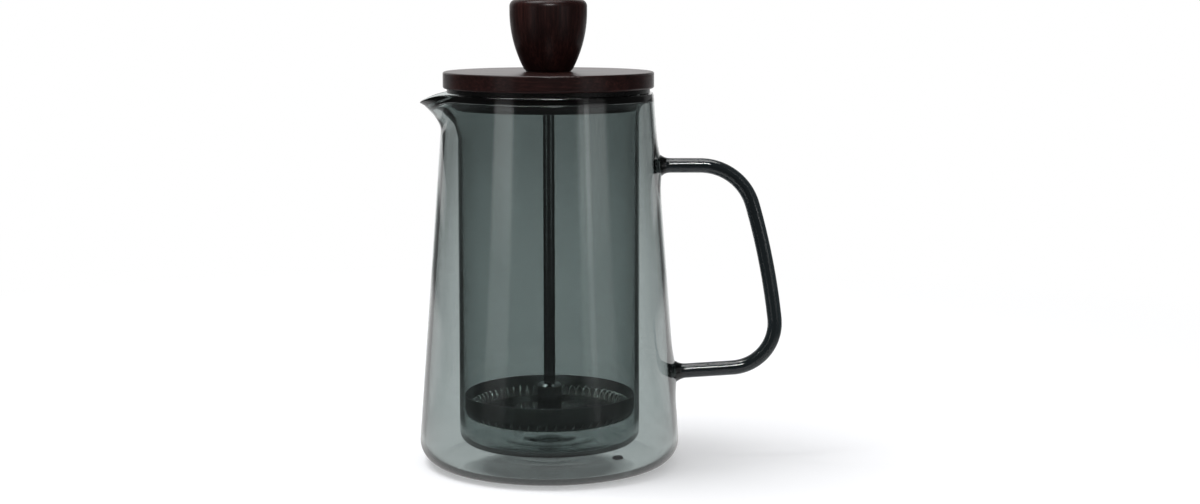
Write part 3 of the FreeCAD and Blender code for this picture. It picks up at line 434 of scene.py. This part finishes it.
def build_screen():
    """The wire cloth pan: turned up round the spring with a full round lower edge."""
    low, high = height_span("mesh_screen")
    outside, gauge, corner, hole = radius_of("mesh_screen"), 0.35, 5.2, 2.6
    rings = (hole, 8.0, 14.0, 20.0, 26.0)
    outline = [(x, low) for x in rings]
    outline += arc(outside - corner, low + corner, corner, -90.0, 0.0, 18)
    outline += arc(outside - gauge / 2, high - gauge / 2, gauge / 2, 0.0, 180.0, 7)
    outline += arc(outside - corner, low + corner, corner - gauge, 0.0, -90.0, 18)
    outline += [(x, low + gauge) for x in reversed(rings)]
    return lathe("wire_cloth_pan", outline, segments=192, closed=True, smooth_angle=60.0)


def build_spring():
    """The spring lies in a ring, so its line winds round that ring."""
    turns, per_turn, wire, half_width, half_height = 60, 22, 0.40, 2.7, 3.2
    ring_radius = radius_of("mesh_screen") - 0.4 - half_width
    middle = height_span("mesh_screen")[0] + 3.7
    path = []
    for k in range(turns * per_turn):
        round_ring = 2 * math.pi * k / (turns * per_turn)
        round_wire = turns * round_ring
        radius = ring_radius + (half_width - wire) * math.cos(round_wire)
        height = middle + (half_height - wire) * math.sin(round_wire)
        path.append((radius * math.cos(round_ring), radius * math.sin(round_ring), height))
    return tube("winding_spring", path, wire, 10)


def build_knob():
    """The turned knob: widest a little under its top, with a bored foot."""
    low, high = height_span("knob")
    widest = radius_of("knob")
    foot, wide_height, top_round, foot_round = 9.9, 25.3, 3.0, 0.8
    wide_at = low + wide_height
    side_radius = (wide_height**2 + (widest - foot) ** 2) / (2 * (widest - foot))
    start = math.degrees(math.asin((wide_height - foot_round) / side_radius))
    outline = [(0.0, low + 14.6), (4.1, low + 12.8), (4.1, low + 0.3), (4.4, low)]
    outline += arc(foot - foot_round + 0.12, low + foot_round, foot_round, -90.0, -12.0, 7)
    outline += arc(widest - side_radius, wide_at, side_radius, -start, 0.0, 40)
    outline += arc(widest - top_round, high - top_round, top_round, 0.0, 90.0, 14)
    outline += [(x, high) for x in (12.0, 9.0, 6.0, 3.0, 0.0)]
    return lathe("turned_knob", outline, segments=160)


# ---------------------------------------------------------------- materials
class Shader:
    """A node material with its nodes added by short calls."""

    def __init__(self, name):
        self.start(bpy.data.materials.new(name), "OutputMaterial")

    def start(self, owner, output):
        self.owner = owner
        owner.use_nodes = True
        self.tree = owner.node_tree
        self.tree.nodes.clear()
        self.output = self.tree.nodes.new("ShaderNode" + output)

    def node(self, kind, links=(), **values):
        """Adds a node; values are its properties or, written with capitals, its sockets."""
        made = self.tree.nodes.new("ShaderNode" + kind)
        for key, setting in values.items():
            if hasattr(made, key):
                setattr(made, key, setting)
            else:
                made.inputs[key.replace("_", " ")].default_value = setting
        for socket, source in dict(links).items():
            self.tree.links.new(source, made.inputs[socket])
        return made

    def math(self, operation, first, second=0.0):
        made = self.node("Math", operation=operation)
        for slot, value in enumerate((first, second)):
            if isinstance(value, (int, float)):
                made.inputs[slot].default_value = value
            else:
                self.tree.links.new(value, made.inputs[slot])
        return made.outputs[0]

    def product(self, *factors):
        result = factors[0]
        for factor in factors[1:]:
            result = self.math("MULTIPLY", result, factor)
        return result

    def span(self, value, start, end, low=0.0, high=1.0, kind="LINEAR"):
        """A number that goes from low to high while the value goes from start to end."""
        made = self.node("MapRange", {"Value": value}, From_Min=start, From_Max=end, To_Min=low, To_Max=high)
        made.interpolation_type = kind
        return made.outputs[0]

    def between(self, value, start, end, low=0.0, high=1.0):
        """The same with a smooth start and end."""
        return self.span(value, start, end, low, high, "SMOOTHSTEP")

    def glow(self, strength):
        """White emission of a fixed or a linked strength."""
        if isinstance(strength, (int, float)):
            return self.node("Emission", Strength=strength).outputs[0]
        return self.node("Emission", {"Strength": strength}).outputs[0]

    def mix(self, share, first, second):
        return self.node("MixShader", {0: share, 1: first, 2: second}).outputs[0]

    def add(self, first, second):
        return self.node("AddShader", {0: first, 1: second}).outputs[0]

    def stretched(self, x, y, z):
        """Coordinates of the object in metres, scaled along each axis."""
        place = self.node("TexCoord")
        mapping = self.node("Mapping", {"Vector": place.outputs["Object"]}, Scale=(x, y, z))
        return mapping.outputs[0]

    def noise(self, stretch, scale, detail, roughness):
        made = self.node("TexNoise", {"Vector": self.stretched(*stretch)}, Scale=scale, Detail=detail)
        made.inputs["Roughness"].default_value = roughness
        return made.outputs[0]

    def ramp(self, source, stops):
        made = self.node("ValToRGB", {"Fac": source})
        band = made.color_ramp
        while len(band.elements) < len(stops):
            band.elements.new(0.5)
        for element, (place, colour) in zip(band.elements, stops):
            element.position = place
            element.color = (*colour, 1.0)
        return made.outputs["Color"]

    def bump(self, height, strength, distance):
        return self.node("Bump", {"Height": height}, Strength=strength, Distance=distance).outputs[0]

    def finish(self, surface, volume=None):
        self.tree.links.new(surface, self.output.inputs["Surface"])
        if volume:
            self.tree.links.new(volume, self.output.inputs["Volume"])
        return self.owner


class WorldShader(Shader):
    """The world's own nodes, added by the same short calls."""

    def __init__(self, name):
        self.start(bpy.data.worlds.new(name), "OutputWorld")
        bpy.context.scene.world = self.owner


def smoked_glass(name, tint, passes, thickness):
    """Glass with a surface tint, which also lets the given shares of each colour pass a thickness in metres."""
    shader = Shader(name)
    surface = shader.node("BsdfPrincipled", Base_Color=(*tint, 1.0), Roughness=0.0, IOR=1.47)
    surface.inputs["Transmission Weight"].default_value = 1.0
    losses = [-math.log(share) / thickness for share in passes]
    density = max(losses) * 1.02
    volume = shader.node("VolumeAbsorption", Density=density)
    volume.inputs["Color"].default_value = (*[1.0 - loss / density for loss in losses], 1.0)
    return shader.finish(surface.outputs[0], volume.outputs[0])


def stained_wood(name, along_axis, lacquer):
    """Dark red-brown stained wood with fine grain along one axis, under satin lacquer."""
    shader = Shader(name)
    fibres = [260.0, 260.0, 260.0]
    fibres[along_axis] = 14.0
    growth = [60.0, 60.0, 60.0]
    growth[along_axis] = 3.5
    fine = shader.noise(fibres, 4.0, 6.0, 0.62)
    broad = shader.noise(growth, 2.0, 3.0, 0.5)
    grain = shader.math("ADD", shader.product(fine, 0.62), shader.product(broad, 0.38))
    colour = shader.ramp(grain, [
        (0.30, (0.0058, 0.0019, 0.0018)),
        (0.50, (0.0168, 0.0055, 0.0050)),
        (0.72, (0.0430, 0.0145, 0.0120)),
    ])
    normal = shader.bump(fine, 0.18, 0.0002)
    rough = shader.span(grain, 0.3, 0.7, 0.42, 0.30)
    surface = shader.node(
        "BsdfPrincipled", {"Base Color": colour, "Normal": normal, "Roughness": rough}, IOR=1.45
    )
    surface.inputs["Specular IOR Level"].default_value = 0.08
    surface.inputs["Coat Weight"].default_value = lacquer
    surface.inputs["Coat Roughness"].default_value = 0.20
    return shader.finish(surface.outputs[0])


def brushed_metal(name, colour, roughness, scale):
    """Metal with fine streaks."""
    shader = Shader(name)
    streaks = shader.noise(scale, 8.0, 4.0, 0.6)
    rough = shader.span(streaks, 0.3, 0.7, roughness * 0.7, roughness * 1.35)
    normal = shader.bump(streaks, 0.04, 0.00005)
    surface = shader.node("BsdfPrincipled", {"Roughness": rough, "Normal": normal}, Metallic=1.0)
    surface.inputs["Base Color"].default_value = (*colour, 1.0)
    return shader.finish(surface.outputs[0])


def wire_cloth(name, pitch):
    """Fine woven wire: on the floor it runs along x and y, on the upright edge round it and up."""
    shader = Shader(name)
    place = shader.node("TexCoord")
    x, y, z = shader.node("SeparateXYZ", {"Vector": place.outputs["Object"]}).outputs
    facing = shader.node("SeparateXYZ", {"Vector": place.outputs["Normal"]})
    flat = shader.math("GREATER_THAN", shader.math("ABSOLUTE", facing.outputs["Z"]), 0.7)
    round_edge = shader.product(shader.math("ARCTAN2", y, x), radius_of("mesh_screen") * MM)
    wires = []
    for on_edge, on_floor in ((round_edge, x), (z, y)):
        run = shader.node("Mix", {"Factor": flat, "A": on_edge, "B": on_floor}).outputs[0]
        wires.append(shader.math("SINE", shader.product(run, 2 * math.pi / pitch)))
    crossed = shader.math("MAXIMUM", *wires)
    # painted shade: the wires darken towards the openings between them, and are brightest on their crowns
    colour = shader.ramp(crossed, [(0.0, (0.06, 0.06, 0.06)), (0.9, (0.55, 0.55, 0.54))])
    normal = shader.bump(crossed, 0.4, 0.00005)
    openings = shader.span(crossed, -0.2, 0.2)
    surface = shader.node(
        "BsdfPrincipled", {"Base Color": colour, "Normal": normal, "Alpha": openings}, Metallic=1.0, Roughness=0.36
    )
    return shader.finish(surface.outputs[0])


def moulded(name, colour, roughness, scale, strength):
    """Moulded plastic or silicone with a faint skin texture."""
    shader = Shader(name)
    skin = shader.noise((scale, scale, scale), 6.0, 5.0, 0.5)
    tint = shader.ramp(skin, [(0.35, [c * 0.8 for c in colour]), (0.65, [c * 1.25 for c in colour])])
    rough = shader.span(skin, 0.35, 0.65, roughness * 0.85, roughness * 1.15)
    normal = shader.bump(skin, strength, 0.00005)
    surface = shader.node("BsdfPrincipled", {"Base Color": tint, "Roughness": rough, "Normal": normal})
    surface.inputs["Specular IOR Level"].default_value = 0.15
    return shader.finish(surface.outputs[0])


def dress(node_or_piece, material):
    thing = NODES[node_or_piece] if isinstance(node_or_piece, str) else node_or_piece
    if not thing.material_slots:
        thing.data.materials.append(material)
    for slot in thing.material_slots:
        slot.material = material


WALL_GLASS = smoked_glass("smoked_glass_wall", (0.735, 0.770, 0.767), (0.816, 0.831, 0.829), 0.002)
ROD_GLASS = smoked_glass("smoked_glass_rod", (0.80, 0.81, 0.81), (0.23, 0.252, 0.262), 0.002)
DISC_WOOD = stained_wood("stained_wood_disc", 0, 0.26)
KNOB_WOOD = stained_wood("stained_wood_knob", 2, 0.15)
STEEL = brushed_metal("polished_steel", (0.47, 0.47, 0.47), 0.14, (200.0, 200.0, 30.0))
PRESSED_STEEL = brushed_metal("pressed_steel", (0.66, 0.66, 0.65), 0.20, (90.0, 90.0, 90.0))
WIRE = brushed_metal("spring_wire", (0.94, 0.94, 0.92), 0.12, (300.0, 300.0, 300.0))
CLOTH = wire_cloth("wire_cloth", 0.00024)
PLASTIC = moulded("moulded_plastic", (0.006, 0.006, 0.006), 0.28, 300.0, 0.10)
SILICONE = moulded("silicone", (0.009, 0.009, 0.009), 0.40, 240.0, 0.16)
GREY_SILICONE = moulded("grey_silicone", (0.040, 0.043, 0.044), 0.50, 240.0, 0.16)
BRASS = brushed_metal("turned_brass", (0.60, 0.42, 0.16), 0.28, (60.0, 60.0, 400.0))

vessel = build_vessel()
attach(vessel, "beaker")
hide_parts("outer_glass", "inner_glass")
dress(vessel, WALL_GLASS)

handle = build_handle()
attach(handle, "beaker")
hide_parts("glass_handle")
dress(handle, ROD_GLASS)

spring = build_spring()
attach(spring, "plunger")
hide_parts("coil_spring")
dress(spring, WIRE)

screen = build_screen()
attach(screen, "plunger")
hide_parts("mesh_screen")
dress(screen, CLOTH)

knob = build_knob()
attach(knob, "plunger")
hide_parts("knob")
dress(knob, KNOB_WOOD)

for material, names in (
    (DISC_WOOD, ("lid_disc",)),
    (PLASTIC, ("lid_insert",)),
    (SILICONE, ("lid_gasket",)),
    (GREY_SILICONE, ("vent_plug",)),
    (STEEL, ("plunger_rod", "filter_hub", "filter_nut", "filter_washer")),
    (STEEL, ("rod_bush", "bush_clip", "lid_screws")),
    (PRESSED_STEEL, ("spiral_plate", "cross_plate")),
    (BRASS, ("knob_insert",)),
):
    for name in names:
        dress(name, material)


# ---------------------------------------------------------------- floor, light and camera
FLOOR_LEVEL = -0.0001  # just under the foot, so that the two faces don't coincide
FLOOR_RINGS = (0.1, 0.3, 0.8, 2.0, 6.0, 20.0, 60.0)
FLOOR_LIFT = 0.30
UNDER_LIFT = 0.18  # the same straight under the object, as glass shows it, inside the painted shadow
UNDER_SCALE = (1.15, 1.1, 0.0)  # that painted shadow's dark oval, as a scale and a shift of a round spot
UNDER_SHIFT = (0.0, 0.026, 0.0)
AMBIENT = 0.60
# the floor as glass shows it, near and far
GLASS_NEAR = 1.10
GLASS_BACK = 0.70
# the floor near the object as it is mirrored: outside the glass and just behind it, and inside the glass, darker
# there as painted shade
ROOM_NEAR = 0.85
NEAR_INSIDE_SHADE = 0.20
# the mirrored room: front, the back's upper part as glass shows it, backdrop, sides, and a wide softbox overhead
ROOM_FRONT = 0.07
ROOM_RAISED = 0.45
ROOM_BACK = 1.0
ROOM_SIDES = 0.85
ROOM_ABOVE = 4.5
# where each part of the room is full and where it ends: degrees from the back
BACKDROP = (14.0, 30.0)
SIDES = (42.0, 60.0)
WIDE_SIDES = (55.0, 80.0)  # the sides on the nearer floor
OVERHEAD = (0.89, 0.94)  # where the overhead softbox starts and where it is full, as sines of height
# light strips: degrees from the back towards the right, half width, strength
STRIPS = ((-132.5, 13.5, 1.35), (131.0, 20.0, 1.0), (137.5, 3.5, 2.0))
STRIP_CORE = 0.6
STRIP_LOW = 0.5  # what is left of the strips at the horizon
STRIP_HIGH = 0.35  # and above their upper ends


def sight(shader):
    """Shares of a ray: seen straight, through glass, as diffuse light, and mirrored before it met any glass."""
    path = shader.node("LightPath")
    mirrored = shader.math("MINIMUM", path.outputs["Glossy Depth"], 1.0)
    straight = shader.math("SUBTRACT", 1.0, mirrored)
    through = shader.product(path.outputs["Is Transmission Ray"], straight)
    outside = shader.math("SUBTRACT", 1.0, shader.math("MINIMUM", path.outputs["Transmission Depth"], 1.0))
    return path.outputs["Is Camera Ray"], through, path.outputs["Is Diffuse Ray"], outside


def room_around(shader, x, y, outside, fade, wide):
    """What surfaces mirror: a backdrop behind, pale sides for what stands outside the glass, and light strips."""
    level = shader.math("SQRT", shader.math("ADD", shader.product(x, x), shader.product(y, y)))
    facing = shader.math("DIVIDE", y, shader.math("MAXIMUM", level, 0.001))

    def sector(full, end):
        return shader.between(facing, math.cos(math.radians(end)), math.cos(math.radians(full)))

    back = shader.product(sector(*BACKDROP), ROOM_BACK)
    side = shader.math("MAXIMUM", sector(*SIDES), shader.product(sector(*WIDE_SIDES), wide))
    room = shader.math("MAXIMUM", back, shader.product(side, ROOM_SIDES, outside))
    room = shader.math("MAXIMUM", room, ROOM_FRONT)
    turn = shader.math("ARCTAN2", x, y)
    for middle, half, strength in STRIPS:
        offset = shader.math("ABSOLUTE", shader.math("SUBTRACT", turn, math.radians(middle)))
        across = shader.between(offset, math.radians(half), math.radians(half) * STRIP_CORE)
        room = shader.math("MAXIMUM", room, shader.product(across, strength, fade))
    return room


def floor_shader():
    """White paper that keeps the object's shadow, with its own brightness in glass and in reflections, and painted
    shadows round and under the foot in these.
    """
    shader = Shader("studio_floor")
    place = shader.node("TexCoord").outputs["Object"]
    x, y, _ = shader.node("SeparateXYZ", {"Vector": place}).outputs
    reach = shader.node("VectorMath", {0: place}, operation="LENGTH").outputs["Value"]
    camera, through, diffuse, outside = sight(shader)

    # seen straight: paper round the object, which turns to plain white further out
    paper = shader.node("BsdfDiffuse", Color=(0.79, 0.797, 0.82, 1.0)).outputs[0]
    lifted = shader.add(paper, shader.glow(FLOOR_LIFT))
    plain = shader.mix(shader.span(reach, 0.25, 0.60), lifted, shader.glow(1.0))

    # seen through glass: a bright backdrop, and a painted shadow straight under the object, where lit paper with a
    # small lift takes the backdrop's place
    backdrop = shader.glow(shader.between(y, 0.25, 1.9, GLASS_NEAR, GLASS_BACK))
    painted_shadow_oval = shader.node("VectorMath", {0: place}, operation="MULTIPLY_ADD")
    painted_shadow_oval.inputs[1].default_value = UNDER_SCALE
    painted_shadow_oval.inputs[2].default_value = UNDER_SHIFT
    from_shadow_middle = shader.node("VectorMath", {0: painted_shadow_oval.outputs["Vector"]}, operation="LENGTH").outputs["Value"]
    # painted shadow: inside the oval the backdrop's glow gives way to the darker paper
    clear = shader.span(from_shadow_middle, 0.030, 0.042, 0.06, 0.95)
    in_glass = shader.mix(clear, shader.add(paper, shader.glow(UNDER_LIFT)), backdrop)

    # mirrored: the paper near the object with a painted contact shadow round the foot, and further out the room
    # painted shade: inside the glass the paper in front of the object reads darker, while just behind it stays
    # bright
    behind = shader.product(shader.between(y, -0.03, 0.06), shader.between(reach, 0.11, 0.08))
    share = shader.span(shader.math("MAXIMUM", outside, behind), 0.0, 1.0, NEAR_INSIDE_SHADE, ROOM_NEAR)
    # painted contact shadow: the mirrored paper is darker within a few centimetres of the foot
    painted_contact_shadow = shader.span(reach, 0.050, 0.080, 0.65, 1.0)
    near = shader.product(shader.between(reach, 0.32, 0.10), share, painted_contact_shadow)
    dark_ring = shader.product(shader.between(reach, 0.55, 0.80), shader.between(reach, 1.9, 1.4))
    dimmed = shader.span(dark_ring, 0.0, 1.0, 1.0, 0.2)
    beside = shader.product(outside, shader.between(reach, 3.15, 2.95), dimmed)
    fade = shader.span(reach, 0.3, 1.2, 0.10, STRIP_LOW)
    room = room_around(shader, x, y, beside, fade, shader.between(reach, 1.7, 1.3))
    mirrored = shader.glow(shader.math("MAXIMUM", room, near))

    whole = shader.mix(through, mirrored, in_glass)
    whole = shader.mix(diffuse, whole, paper)
    return shader.finish(shader.mix(camera, whole, plain))


def build_floor():
    segments = 64
    vertices = [(0.0, 0.0, FLOOR_LEVEL)]
    rows = [[0]]
    for radius in FLOOR_RINGS:
        rows.append(list(range(len(vertices), len(vertices) + segments)))
        for k in range(segments):
            angle = 2 * math.pi * k / segments
            vertices.append((radius * math.cos(angle), radius * math.sin(angle), FLOOR_LEVEL))
    mesh = bpy.data.meshes.new("studio_floor")
    mesh.from_pydata(vertices, [], spin_faces(rows, segments, closed=False))
    floor = bpy.data.objects.new("studio_floor", mesh)
    bpy.context.scene.collection.objects.link(floor)
    material = floor_shader()
    material.cycles.emission_sampling = "NONE"
    mesh.materials.append(material)


def build_world():
    """White behind the object, a soft even light on it, and a room with light strips for its reflections."""
    shader = WorldShader("studio")
    place = shader.node("TexCoord").outputs["Generated"]
    x, y, z = shader.node("SeparateXYZ", {"Vector": place}).outputs
    camera, through, diffuse, outside = sight(shader)
    fade = shader.span(z, -0.01, 0.045, STRIP_LOW, 1.0)
    ends = shader.span(z, 0.080, 0.092, 1.0, STRIP_HIGH)
    beside = shader.product(outside, shader.span(x, -0.1, 0.1, 1.0, 0.3))
    room = room_around(shader, x, y, beside, shader.product(fade, ends), 0.0)
    lower = shader.product(room, shader.between(z, 0.80, 0.65))
    inside = shader.math("SUBTRACT", 1.0, outside)
    raised = shader.product(shader.between(z, 0.22, 0.40), ROOM_RAISED, inside, shader.between(y, -0.2, 0.2))
    above = shader.math("MAXIMUM", shader.product(shader.between(z, *OVERHEAD), ROOM_ABOVE), raised)
    room = shader.math("MAXIMUM", lower, shader.math("MAXIMUM", above, ROOM_FRONT))
    lit = shader.node("Mix", {"Factor": diffuse, "A": room})
    lit.inputs["B"].default_value = AMBIENT
    strength = shader.node("Mix", {"Factor": shader.math("MAXIMUM", camera, through), "A": lit.outputs[0]})
    strength.inputs["B"].default_value = 1.0
    light = shader.node("Background", {"Strength": strength.outputs[0]}, Color=(1.0, 1.0, 1.0, 1.0))
    shader.finish(light.outputs[0])
    shader.owner.cycles.sampling_method = "NONE"


def softbox(name, place, aim, width, height, watts):
    light = bpy.data.lights.new(name, "AREA")
    light.shape = "RECTANGLE"
    light.size = width
    light.size_y = height
    light.energy = watts
    lamp = bpy.data.objects.new(name, light)
    bpy.context.scene.collection.objects.link(lamp)
    lamp.location = place
    lamp.rotation_euler = (Vector(aim) - Vector(place)).to_track_quat("-Z", "Y").to_euler()
    return lamp


def build_camera():
    """Read from the ellipses of the rim, the filter and the foot."""
    data = bpy.data.cameras.new("camera")
    data.sensor_width = 36.0
    data.lens = 58.94
    data.clip_start = 0.02
    camera = bpy.data.objects.new("camera", data)
    bpy.context.scene.collection.objects.link(camera)
    camera.location = (0.02195, -0.83976, 0.20494)
    camera.rotation_euler = (math.radians(90.0 - 7.712), 0.0, 0.0)
    return camera


build_floor()
build_world()
softbox("key_left", (-0.42, -0.06, 1.15), (0.0, 0.0, 0.08), 0.55, 0.55, 7.5)
front = softbox("front_above", (0.06, -0.62, 0.60), (0.0, 0.0, 0.12), 0.28, 0.22, 4.4)
front.visible_diffuse = False  # a lamp for highlights alone: it casts no shadow on the floor

scene = bpy.context.scene
scene.camera = build_camera()
scene.view_settings.view_transform = "Standard"
scene.cycles.max_bounces = 28
scene.cycles.transmission_bounces = 24
scene.cycles.glossy_bounces = 8
scene.cycles.transparent_max_bounces = 24
scene.cycles.volume_bounces = 0
